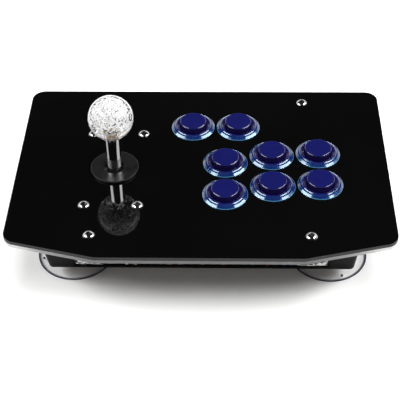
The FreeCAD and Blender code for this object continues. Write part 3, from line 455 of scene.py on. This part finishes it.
def crystalBall():
    # White with fine bubbles; clear gaps between them, more of them round the waist and towards the foot;
    # wide gaps on the upper half take painted shade, a near-black colour
    material, tree, shader = newFinish("crystal_ball")
    black = (0, 0, 0)
    white = (1, 1, 1)
    local = objectPlace(tree, (1 / ballRadius, 1 / ballRadius, 1 / ballRadius), -ballCentre / ballRadius)
    fromWaist = calc(tree, "ABSOLUTE", dotWith(tree, local, gaps["waist"]))
    waist = ramp(tree, fromWaist, [(0.3, black), (0.4, white), (0.56, white), (0.68, black)])
    lower = dotWith(tree, local, gaps["foot"])
    fineGaps = openings(tree, noiseField(tree, 880, 3), lower, (-0.3, 0.95), (-0.02, 0.13))
    wideGaps = openings(tree, noiseField(tree, 520), waist, (0.0, 1.0), (-0.3, 0.1))
    clear = calc(tree, "MAXIMUM", fineGaps, wideGaps)
    inside = addNode(tree, "NewGeometry").outputs["Backfacing"]
    bubbles = tint(tree, noiseField(tree, 760, 3), (0.88, 0.885, 0.89), (0.46, 0.465, 0.47))
    # Painted shade: near-black in the wide gaps, fading out below the upper half
    upper = remap(tree, dotWith(tree, local, gaps["upper"]), (-0.35, 0.1))
    hollow = calc(tree, "MULTIPLY", wideGaps, upper)
    setInputs(tree, shader, {
        "Base Color": mixColours(tree, hollow, bubbles, (0.02, 0.02, 0.022, 1)),
        "Transmission Weight": calc(tree, "MAXIMUM", clear, inside),
        "Roughness": spread(tree, noiseField(tree, 190, 1), 0.03, 0.08),
        "IOR": 1.49,
    })
    return material


def satinBlack():
    # Satin plastic with faint patches
    material, tree, shader = newFinish("satin_black")
    patch = noiseField(tree, 200)
    setInputs(tree, shader, {
        "Base Color": tint(tree, patch, (0.003, 0.003, 0.0035), (0.005, 0.005, 0.0055)),
        "Roughness": spread(tree, patch, 0.26, 0.36),
        "Specular IOR Level": 0.36,
    })
    return material


def greenBoard():
    # Lacquered board with faint tracks
    material, tree, shader = newFinish("green_board")
    tracks = noiseField(tree, 500, 0, (1, 0.15, 1))
    setInputs(tree, shader, {
        "Base Color": tint(tree, tracks, (0.012, 0.09, 0.04), (0.03, 0.19, 0.09)),
        "Roughness": 0.4,
    })
    return material


def blueClear():
    # Deep blue; painted shade makes it purple down in the dish; pale along the thin outer edge, partly the
    # thinner plastic and partly painted light for the glow that comes through it
    material, tree, shader = newFinish("blue_clear")
    tones = ramp(tree, attribute(tree, "zone"), [
        (0.0, (0.011, 0.005, 0.1)),
        (0.3, (0.009, 0.007, 0.11)),
        (0.5, (0.0025, 0.014, 0.12)),
        (0.7, (0.006, 0.03, 0.17)),
        (1.0, (0.06, 0.21, 0.38)),
    ])
    setInputs(tree, shader, {
        "Base Color": tones,
        "Roughness": spread(tree, noiseField(tree, 90), 0.16, 0.24),
        "IOR": 1.58,
        "Transmission Weight": 0.3,
        "Specular Tint": (0.4, 0.82, 1.0, 1),
        "Coat Weight": 0.85,
        "Coat Roughness": 0.03,
    })
    return material


def bluePlunger():
    # Satin on top; painted shade makes it darker down the sides
    material, tree, shader = newFinish("blue_plunger")
    upward = component(tree, "Normal", "Z")
    setInputs(tree, shader, {
        # Painted shade: darker where the faces turn from upward to the sides
        "Base Color": tint(tree, upward, (0.005, 0.003, 0.038), (0.0045, 0.0056, 0.069)),
        "Roughness": spread(tree, noiseField(tree, 120), 0.12, 0.18),
        "Normal": bumps(tree, noiseField(tree, 1800), 0.04, 0.02),
    })
    return material


def clearVinyl():
    # Thin and see-through; painted shade, a dark and almost opaque colour, along the thick lip and on the
    # stud
    material, tree, shader = newFinish("clear_vinyl")
    setInputs(tree, shader, {
        "Base Color": (0.022, 0.022, 0.045, 1),
        "Roughness": spread(tree, noiseField(tree, 140), 0.05, 0.14),
        "IOR": 1.45,
        "Alpha": remap(tree, attribute(tree, "lip"), (0.0, 1.0), (0.03, 0.95)),
    })
    return material


# Roughness and two colours of each moulding; grain, roughness and colours of each metal
moulded = {
    "black_rubber": ((0.6, 0.8), (0.012, 0.012, 0.012), (0.02, 0.02, 0.02)),
    "black_moulding": ((0.4, 0.55), (0.012, 0.012, 0.013), (0.022, 0.022, 0.024)),
    "white_moulding": ((0.35, 0.5), (0.7, 0.69, 0.65), (0.8, 0.79, 0.75)),
}
metals = {
    "brass": ({"scale": 900, "stretch": (0.2, 0.2, 3)}, (0.2, 0.38), (0.6, 0.38, 0.12), (0.78, 0.54, 0.2)),
    "zinc_plate": ({"scale": 160, "detail": 1}, (0.28, 0.48), (0.5, 0.5, 0.52), (0.68, 0.68, 0.69)),
    "spring_steel": ({"scale": 700}, (0.18, 0.36), (0.55, 0.55, 0.57)),
    "bright_tube": ({"scale": 300, "stretch": (1, 1, 0.1)}, (0.03, 0.08), (0.82, 0.82, 0.84)),
}
finishes = {
    "black_acrylic": blackAcrylic(),
    "clear_acrylic": clearAcrylic(),
    "black_base": blackBase(),
    "printed_trim": printedTrim(),
    "bright_screws": brightScrews(),
    "crystal_ball": crystalBall(),
    "satin_black": satinBlack(),
    "green_board": greenBoard(),
    "blue_clear": blueClear(),
    "blue_plunger": bluePlunger(),
    "clear_vinyl": clearVinyl(),
}
for name, setup in moulded.items():
    finishes[name] = mouldedFinish(name, *setup)
for name, setup in metals.items():
    finishes[name] = metalFinish(name, *setup)
for row in frame["record"]["subparts"]:
    nodes[row["node"]].material_slots[0].material = finishes[row["material_slot"]]
print("materials made:", len(finishes))


# Panel sheets: copies of the flat solids with polished edges
sheet = {"edge": 0.3, "steps": 3, "seam": 0.03, "smooth": 12, "flat": 0.5, "corner": 40}


def polishedSheet(node, slot, seam):
    startFresh()
    piece = bpy.data.objects.new(node + "_sheet", nodes[node].data.copy())
    bpy.context.scene.collection.objects.link(piece)
    editAll(piece)
    bpy.ops.mesh.remove_doubles(threshold=weld * mm)
    bpy.ops.mesh.dissolve_limited(angle_limit=math.radians(sheet["flat"]))
    bpy.ops.object.mode_set(mode="OBJECT")
    bottom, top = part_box(node)
    for corner in piece.data.vertices:
        corner.co.z += -seam * mm if corner.co.z > (bottom.z + top.z) / 2 else seam * mm
    bevel = piece.modifiers.new("edge", "BEVEL")
    bevel.width = sheet["edge"] * mm
    bevel.segments = sheet["steps"]
    bevel.limit_method = "ANGLE"
    bevel.angle_limit = math.radians(sheet["corner"])
    applyModifiers(piece)
    closeUp(piece, sheet["smooth"])
    dress(piece, finishes[slot], "root", node)


polishedSheet("top_panel", "black_acrylic", 0)
polishedSheet("under_panel", "clear_acrylic", sheet["seam"])
print("panel sheets made")


# Suction feet: a soft bell with a bead at its lip and a barbed plug
foot = {"sides": 96, "hollow": 3.6, "hollowSteps": 8, "seal": 1.4, "bead": 0.45, "rimLine": 0.8,
        "bellStart": 0.5, "bellSteps": 12, "sag": 0.55, "neck": 11.0, "flare": 1.2, "flareRise": 0.8,
        "flareLift": 1.0, "crown": 8.2, "top": 10.0, "edge": 0.3, "stem": 4.0, "stemTop": 12.75, "barb": 5.6,
        "barbLip": 0.2, "barbTop": 15.9, "tip": 0.4}
footLow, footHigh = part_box("suction_foot_front_left")
footLip = (footHigh.x - footLow.x) / 2 / mm

# Each cup has a small stud on its bell: the front pair's are where the photo shows them
stud = {"sides": 20, "outline": [(0.9, 1.6), (1.1, 2.0), (1.1, 3.0), (0.9, 3.35), (0.5, 3.5)], "reach": 1.4,
        "low": 2.5, "left": (-24.5, -9.0), "right": (9.0, -25.5)}


def footOutline():
    bead, neck, crown, top = (foot[key] for key in ("bead", "neck", "crown", "top"))
    stem, stemTop, edge, flare = (foot[key] for key in ("stem", "stemTop", "edge", "flare"))
    hollow = []
    for step in range(1, foot["hollowSteps"] + 1):
        part = step / foot["hollowSteps"]
        hollow.append(((footLip - foot["seal"]) * part, foot["hollow"] * (1 - part ** 2)))
    lip = arc((footLip - bead, bead), (bead, bead), -90, 60, 6)
    bellStart = footLip - foot["bellStart"]
    bell = []
    for step in range(foot["bellSteps"] + 1):
        part = step / foot["bellSteps"]
        radius = bellStart + (neck + flare - bellStart) * part
        height = 2 * bead + (crown - 2 * bead) * part - foot["sag"] * math.sin(math.pi * part)
        bell.append((radius, height))
    bend = arc((neck + flare, crown + foot["flareLift"]), (flare, foot["flareRise"]), 260, 180, 4)
    shoulder = [(neck, top - edge), (neck - edge, top), (stem, top)]
    plug = [(stem, stemTop), (foot["barb"] - foot["barbLip"], stemTop), (foot["barb"], stemTop + edge),
            (stem, foot["barbTop"] - foot["barbLip"]), (stem - foot["tip"], foot["barbTop"])]
    return hollow + lip + bell + bend + shoulder + plug


def markLip(piece, middle, studPlace):
    # Marks where the vinyl takes its painted shade: along the bead and at the stud
    def lipAt(spot):
        atRim = reachOf(spot, middle) > footLip - foot["rimLine"]
        atStud = reachOf(spot, studPlace) < stud["reach"] and spot.z > stud["low"] * mm
        return float(atRim or atStud)

    markCorners(piece, "lip", lipAt)


def suctionFeet():
    # One bell is copied to the other corners; the back pair's studs mirror the front pair's
    spots = [(end, side) for end in ("front", "back") for side in ("left", "right")]
    middles = [middleOf(f"suction_foot_{end}_{side}", 0) for end, side in spots]
    bells = [turnOutline("foot_front_left", middles[0], footOutline(), foot["sides"], "caps")]
    for (end, side), middle in list(zip(spots, middles))[1:]:
        bells.append(copyTo(bells[0], f"foot_{end}_{side}", middle - middles[0]))
    for (end, side), middle, bell in zip(spots, middles, bells):
        across, ahead = stud[side]
        studPlace = middle + Vector((across, ahead if end == "front" else -ahead, 0)) * mm
        studPiece = turnOutline(f"stud_{end}_{side}", studPlace, stud["outline"], stud["sides"], "caps")
        piece = joined(f"foot_{end}_{side}", [bell, studPiece])
        markLip(piece, middle, studPlace)
        dress(piece, finishes["clear_vinyl"], "root", f"suction_foot_{end}_{side}")
    return len(bells)


print("suction feet made:", suctionFeet())


# Button-head screws with a hex socket
screw = {"sides": 64, "head": 4.25, "rim": 0.1, "edge": 0.2, "dome": 5.3, "flat": 1.6, "shank": 2.0,
         "tip": 0.3, "flats": 2.5, "deep": 1.4, "near": 0.01}


def screwOutline(length):
    head, dome, shank = (screw[key] for key in ("head", "dome", "shank"))
    first = math.degrees(math.acos(head / dome))
    last = math.degrees(math.acos(screw["flat"] / dome))
    centre = screw["edge"] - dome * math.sin(math.radians(first))
    rod = [(shank - screw["tip"], -length), (shank, -length + screw["tip"]), (shank, seatGap)]
    brim = [(head - screw["rim"], seatGap), (head, seatGap + screw["rim"])]
    return rod + brim + arc((0, centre), (dome, dome), first, last, 10)


def screwAt(name, place, length):
    piece = turnOutline(name, place, screwOutline(length), screw["sides"], "caps")
    reach = screw["flats"] / math.sqrt(3)
    headTop = max(corner.co.z for corner in piece.data.vertices)
    socket = rodTool((place.x, place.y, headTop), reach * mm, 2 * screw["deep"] * mm, 6)
    piece = cutWith(piece, socket)

    # Marks the socket's corners, which the finish darkens as painted shade
    def socketAt(spot):
        below = panelTop < spot.z < headTop - screw["near"] * mm
        return float(below and reachOf(spot, place) < reach + screw["near"])

    markCorners(piece, "socket", socketAt)
    return piece


def screwSet(node):
    # The four screws of a set stand at the corners of its box
    low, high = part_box(node)
    inset = screw["head"] * mm
    rows = (low.y + inset, high.y - inset)
    spots = [Vector((x, y, panelTop)) for x in (low.x + inset, high.x - inset) for y in rows]
    screws = [screwAt(node + "_1", spots[0], (panelTop - low.z) / mm)]
    for i, spot in enumerate(spots[1:], start=2):
        screws.append(copyTo(screws[0], f"{node}_{i}", spot - spots[0]))
    dress(joined(node + "_set", screws), finishes["bright_screws"], "root", node)


screwSet("panel_screws")
screwSet("stick_screws")
print("screws made")


# Stick: the tube over the shaft
tube = {"sides": 72, "bore": 4.85, "edge": 0.3}


def shaftTube():
    low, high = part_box("shaft_cover")
    radius = (high.x - low.x) / 2 / mm
    bottom = low.z / mm
    top = high.z / mm
    edge = tube["edge"]
    outline = [(tube["bore"], bottom), (radius - edge, bottom), (radius, bottom + edge), (radius, top - edge),
               (radius - edge, top), (tube["bore"], top)]
    piece = turnOutline("shaft_tube", middleOf("shaft_cover", 0), outline, tube["sides"], "loop")
    dress(piece, finishes["bright_tube"], "stick", "shaft_cover")


# Stick: the washer on the panel
washer = {"sides": 128, "radius": 18.4, "hole": 7.9, "thick": 2.0, "edge": 0.5}


def dustRing():
    edge = washer["edge"]
    outer = washer["radius"] - edge
    upper = washer["thick"] - edge
    outline = [(washer["hole"], seatGap)]
    outline += arc((outer, edge), (edge, edge - seatGap), -90, 0, 4)
    outline += arc((outer, upper), (edge, edge), 0, 90, 6)
    outline += arc((washer["hole"] + edge, upper), (edge, edge), 90, 180, 6)
    piece = turnOutline("dust_ring", middleOf("dust_washer", panelTop), outline, washer["sides"], "loop")
    dress(piece, finishes["satin_black"], "root", "dust_washer")


# Stick: the ball with its bubbles, which stay clear of its foot and its bush
ball = {"segments": 96, "rings": 64, "bore": 3.83, "boreSides": 48, "boreShort": 0.2}
bubble = {"seed": 11, "cluster": 30, "copies": 11, "fineness": 2, "small": 0.35, "large": 1.1, "sizePower": 2,
          "within": 0.96, "farPower": 0.4, "footClear": 1.5, "bushReach": 5.2, "bushClear": 1.2}


def ballShell():
    startFresh()
    bpy.ops.mesh.primitive_uv_sphere_add(segments=ball["segments"], ring_count=ball["rings"],
                                         radius=ballRadius, location=ballCentre)
    piece = named("ball_resin")
    editAll(piece)
    footPlace = (ballCentre.x, ballCentre.y, ballLow.z)
    bpy.ops.mesh.bisect(plane_co=footPlace, plane_no=(0, 0, 1), use_fill=True, clear_inner=True)
    bpy.ops.object.mode_set(mode="OBJECT")
    depth = 2 * (bushTop - ballLow.z) - ball["boreShort"] * mm
    return cutWith(piece, rodTool(footPlace, ball["bore"] * mm, depth, ball["boreSides"]))


def addBubble(size, place):
    bpy.ops.mesh.primitive_ico_sphere_add(subdivisions=bubble["fineness"], radius=size, location=place)


def bubbleCluster(dice):
    small = bubble["small"]
    startFresh()
    addBubble(small * mm, ballCentre + Vector((0, 0, ballRadius / 2)))
    cluster = named("ball_bubbles")
    editAll(cluster)
    for _ in range(bubble["cluster"] - 1):
        size = (small + (bubble["large"] - small) * dice.random() ** bubble["sizePower"]) * mm
        way = Vector((dice.gauss(0, 1), dice.gauss(0, 1), dice.gauss(0, 1))).normalized()
        far = (ballRadius * bubble["within"] - size) * dice.random() ** bubble["farPower"]
        addBubble(size, ballCentre + way * far)
    bpy.ops.mesh.select_all(action="SELECT")
    bpy.ops.mesh.normals_make_consistent(inside=True)
    bpy.ops.object.mode_set(mode="OBJECT")
    bpy.ops.object.shade_smooth()
    return cluster


def bubbleCloud():
    # Air bubbles are holes in the resin, so their faces look inwards; one cluster is copied and turned
    dice = random.Random(bubble["seed"])
    clusters = [bubbleCluster(dice)]
    for copy in range(bubble["copies"]):
        pick(clusters[0])
        bpy.ops.object.duplicate(linked=False)
        for axis in "XYZ":
            turn = dice.uniform(0, 2 * math.pi)
            bpy.ops.transform.rotate(value=turn, orient_axis=axis, center_override=ballCentre)
        clusters.append(named(f"ball_bubbles_{copy}"))
    return joined("ball_bubbles", clusters)


def clearFoot(cloud):
    # Takes away the bubbles that come near the ball's foot or its bush
    editAll(cloud)
    bpy.ops.mesh.select_mode(type="VERT")
    bpy.ops.mesh.select_all(action="DESELECT")
    bpy.ops.object.mode_set(mode="OBJECT")
    for corner in cloud.data.vertices:
        atFoot = corner.co.z < ballLow.z + bubble["footClear"] * mm
        low = corner.co.z < bushTop + bubble["bushClear"] * mm
        corner.select = atFoot or (low and reachOf(corner.co, ballCentre) < bubble["bushReach"])
    bpy.ops.object.mode_set(mode="EDIT")
    bpy.ops.mesh.select_linked()
    bpy.ops.mesh.delete(type="VERT")
    bpy.ops.object.mode_set(mode="OBJECT")
    return cloud


def resinBall():
    shell = ballShell()
    piece = joined("ball_resin", [shell, clearFoot(bubbleCloud())])
    dress(piece, finishes["crystal_ball"], "stick", "ball_top")


shaftTube()
dustRing()
resinBall()
print("stick pieces made")


# Push buttons: a rounded see-through rim on a barrel, and a satin plunger
button = {"count": 8, "sides": 96, "slope": 41.0, "rim": 17.2, "rimFoot": 0.2, "shoulder": 0.25,
          "shoulderLift": 0.3, "pale": (16.9, 16.75), "step": 15.55, "groove": 0.1, "ledge": 1.15,
          "ledgeRise": 0.34, "crown": 13.85, "crest": 0.3, "land": 13.5, "landTurn": 0.5, "height": 2.87,
          "dish": 1.4, "guide": 10.7, "guideEdge": (0.35, 0.1, 0.25), "guideDeep": -4.0, "barrel": 14.8,
          "barrelEdge": 0.3, "bore": 13.4, "deep": -24.0, "floor": -22.0, "hole": 6.5, "square": 14.3,
          "squareTall": 6.0}
plunger = {"sides": 96, "radius": 10.4, "top": 6.8, "topRings": (0.6, 6.0), "edge": 0.22, "facet": 0.36,
           "shoulder": -4.3, "foot": -5.8, "hook": 11.3, "inner": 8.9, "ceiling": 4.8, "stem": 2.4,
           "stemFoot": -18.4, "legGap": 14.0, "legTall": 3.2, "legSlack": 1.0}
# The rim's bands and the plunger's edge slope alike, so that both catch the strip lamps
fall = math.tan(math.radians(button["slope"]))
lean = 90 - button["slope"]


def rimOutline():
    # A sloping outer band, a fine groove and a raised crest round the dish
    rim, step, barrel, deep = (button[key] for key in ("rim", "step", "barrel", "deep"))
    guide, guideDeep, hole, floor = (button[key] for key in ("guide", "guideDeep", "hole", "floor"))
    outside = [(hole, deep), (barrel - button["barrelEdge"], deep), (barrel, deep + button["barrelEdge"]),
               (barrel, seatGap), (rim - button["rimFoot"], seatGap), (rim, button["rimFoot"])]
    bend = button["shoulder"]
    shoulder = arc((rim - bend, button["shoulderLift"]), (bend, bend), 0, lean, 4)
    edgeRadius, edgeHeight = shoulder[-1]
    band = [(radius, edgeHeight + (edgeRadius - radius) * fall) for radius in (*button["pale"], step)]
    grooveHeight = band[-1][1]
    groove = [(step - button["groove"], grooveHeight - button["groove"]),
              (step - button["ledge"], grooveHeight + button["ledgeRise"])]
    facetHeight = groove[-1][1] + (groove[-1][0] - button["crown"]) * fall
    turn = button["crest"]
    turnMiddle = (button["crown"] - turn * math.cos(math.radians(lean)),
                  facetHeight - turn * math.sin(math.radians(lean)))
    crest = arc(turnMiddle, (turn, turn), lean, 90, 4)
    landTurn = button["landTurn"]
    inner = arc((button["land"], crest[-1][1] - landTurn), (landTurn, landTurn), 90, 150, 5)
    dishHeight = button["height"] - button["dish"]
    edgeWide, edgeUp, edgeDown = button["guideEdge"]
    dish = [(guide + edgeWide, dishHeight + edgeUp), (guide, dishHeight - edgeDown)]
    inside = [(guide, guideDeep), (button["bore"], guideDeep), (button["bore"], floor), (hole, floor)]
    return outside + shoulder + band + groove + crest + inner + dish + inside


def firstRim(place):
    piece = turnOutline("button_rim_1", place, rimOutline(), button["sides"], "loop")
    side = button["square"] * mm
    tool = boxTool(place + Vector((0, 0, button["floor"] * mm)), (side, side, button["squareTall"] * mm))
    piece = cutWith(piece, tool)
    paleLine = sum(button["pale"]) / 2

    def zoneAt(spot):
        # 0 in the dish, which takes painted shade, 0.5 on the band, 1 along the outer edge, which is pale
        # partly from painted light
        reach = reachOf(spot, place)
        return 1.0 if reach > paleLine else 0.5 if reach > button["land"] else 0.0

    markCorners(piece, "zone", zoneAt)
    return piece


def plungerOutline():
    edge, facet, radius, top = (plunger[key] for key in ("edge", "facet", "radius", "top"))
    face = [(ring, top) for ring in plunger["topRings"]]
    turn = arc((radius - edge - facet, top - edge), (edge, edge), 90, lean, 4)
    turn += arc((radius - edge, top - edge - facet * fall), (edge, edge), lean, 0, 4)
    skirt = [(radius, plunger["shoulder"]), (plunger["hook"], plunger["shoulder"]),
             (plunger["hook"], plunger["foot"]), (plunger["inner"], plunger["foot"]),
             (plunger["inner"], plunger["ceiling"]), (plunger["stem"], plunger["ceiling"]),
             (plunger["stem"], plunger["stemFoot"])]
    return face + turn + skirt


def firstCap(place):
    # Two gaps in the foot leave a pair of hooked legs
    piece = turnOutline("button_cap_1", place, plungerOutline(), plunger["sides"], "caps")
    hook, half = plunger["hook"], plunger["radius"] / 2
    lengths = (hook - half + plunger["legSlack"], plunger["legGap"], plunger["legTall"])
    size = tuple(length * mm for length in lengths)
    for way in (-1, 1):
        spot = place + Vector(((hook + half) / 2 * way, 0, plunger["foot"])) * mm
        piece = cutWith(piece, boxTool(spot, size))
    return piece


def buttonSet():
    places = [middleOf(f"button_body_{i}", panelTop) for i in range(1, button["count"] + 1)]
    rim = firstRim(places[0])
    cap = firstCap(places[0])
    pairs = [(rim, cap)]
    for i, place in enumerate(places[1:], start=2):
        shift = place - places[0]
        pairs.append((copyTo(rim, f"button_rim_{i}", shift), copyTo(cap, f"button_cap_{i}", shift)))
    for i, (rimPiece, capPiece) in enumerate(pairs, start=1):
        dress(rimPiece, finishes["blue_clear"], "root", f"button_body_{i}")
        dress(capPiece, finishes["blue_plunger"], f"plunger_{i}", f"button_plunger_{i}")


buttonSet()
print("buttons made:", button["count"])


# Floor and world
stage = {"floor": 8.0, "paper": 0.72, "seen": 1.08, "skyLow": 0.16, "skyHigh": 0.38, "backdrop": 0.16,
         "sky": 1.6, "ring": (1.0, 0.955, 0.91), "ceiling": (0.018, 0.018, 0.018)}


def floorFinish():
    # White paper, a little lighter to the eye and in gloss than in the light that it sends back
    material, tree, shader = newFinish("floor_paper")
    tree.nodes.remove(shader)
    rays = addNode(tree, "LightPath").outputs
    sightOrGloss = calc(tree, "MAXIMUM", rays["Is Camera Ray"], rays["Is Glossy Ray"])
    anySight = calc(tree, "MAXIMUM", sightOrGloss, rays["Is Transmission Ray"])
    tone = remap(tree, anySight, (0.0, 1.0), (stage["paper"], stage["seen"]))
    paper = addNode(tree, "BsdfDiffuse", {"Color": tone})
    setInputs(tree, tree.nodes["Material Output"], {"Surface": paper.outputs["BSDF"]})
    return material


def studioWorld():
    # Pale near the horizon, higher at the back; dark overhead, where the gloss sheet mirrors it
    world = bpy.data.worlds.new("studio")
    bpy.context.scene.world = world
    world.use_nodes = True
    tree = world.node_tree
    behind = calc(tree, "MAXIMUM", component(tree, "Generated", "Y"), 0.0)
    height = calc(tree, "MULTIPLY_ADD", behind, -stage["backdrop"], component(tree, "Generated", "Z"))
    tones = [(stage["skyLow"], stage["ring"]), (stage["skyHigh"], stage["ceiling"])]
    sky = ramp(tree, height, tones, "EASE")
    setInputs(tree, tree.nodes["Background"], {"Color": sky, "Strength": stage["sky"]})


startFresh()
bpy.ops.mesh.primitive_plane_add(size=stage["floor"], location=(0, 0, 0))
floorPiece = named("floor")
floorPiece.data.materials.append(floorFinish())
studioWorld()

# Lamps: the strips at both sides show in gloss, the top one only softens the floor's shadow
lamps = {
    "left": {"azimuth": -79, "elevation": 41, "far": 1.3, "size": (1.15, 0.27), "roll": 25, "power": 12.0,
             "inGloss": True},
    "right": {"azimuth": 87, "elevation": 41, "far": 1.3, "size": (1.15, 0.32), "roll": -25, "power": 15.5,
              "inGloss": True},
    "top": {"azimuth": 90, "elevation": 86, "far": 1.4, "size": (2.0, 0.9), "roll": 0, "power": 21.0,
            "inGloss": False},
}


def addLamp(name, setup):
    # Azimuth is counted from the player's side, positive to the right
    turn = math.radians(setup["azimuth"])
    lift = math.radians(setup["elevation"])
    way = Vector((math.sin(turn) * math.cos(lift), -math.cos(turn) * math.cos(lift), math.sin(lift)))
    aim = Vector((0, 0, panelTop))
    bpy.ops.object.light_add(type="AREA", location=aim + way * setup["far"])
    lamp = bpy.context.object
    lamp.name = name + "_lamp"
    facing = way.to_track_quat("Z", "Y").to_matrix() @ Matrix.Rotation(math.radians(setup["roll"]), 3, "Z")
    lamp.rotation_euler = facing.to_euler()
    lamp.data.shape = "RECTANGLE"
    lamp.data.size, lamp.data.size_y = setup["size"]
    lamp.data.energy = setup["power"]
    lamp.visible_glossy = setup["inGloss"]


for lampName, setup in lamps.items():
    addLamp(lampName, setup)
print("stage and lamps set")


# Camera, as fitted to the photograph
view = {"place": (0.01972, -0.6379, 0.6108), "yaw": -1.95, "pitch": 42.48, "roll": -1.0, "lens": 98.31,
        "sensor": 36.0, "near": 0.01}
bpy.ops.object.camera_add()
camera = bpy.context.object
camera.data.sensor_fit = "HORIZONTAL"
camera.data.sensor_width = view["sensor"]
camera.data.lens = view["lens"]
camera.data.clip_start = view["near"]
camera.data.dof.use_dof = False
turnDown = Matrix.Rotation(math.radians(90 - view["pitch"]), 4, "X")
turnSide = Matrix.Rotation(math.radians(-view["yaw"]), 4, "Z")
turnRoll = Matrix.Rotation(math.radians(view["roll"]), 4, "Z")
camera.matrix_world = Matrix.Translation(view["place"]) @ turnSide @ turnDown @ turnRoll
bpy.context.scene.camera = camera
bpy.context.scene.view_settings.view_transform = "Standard"
print("camera set")
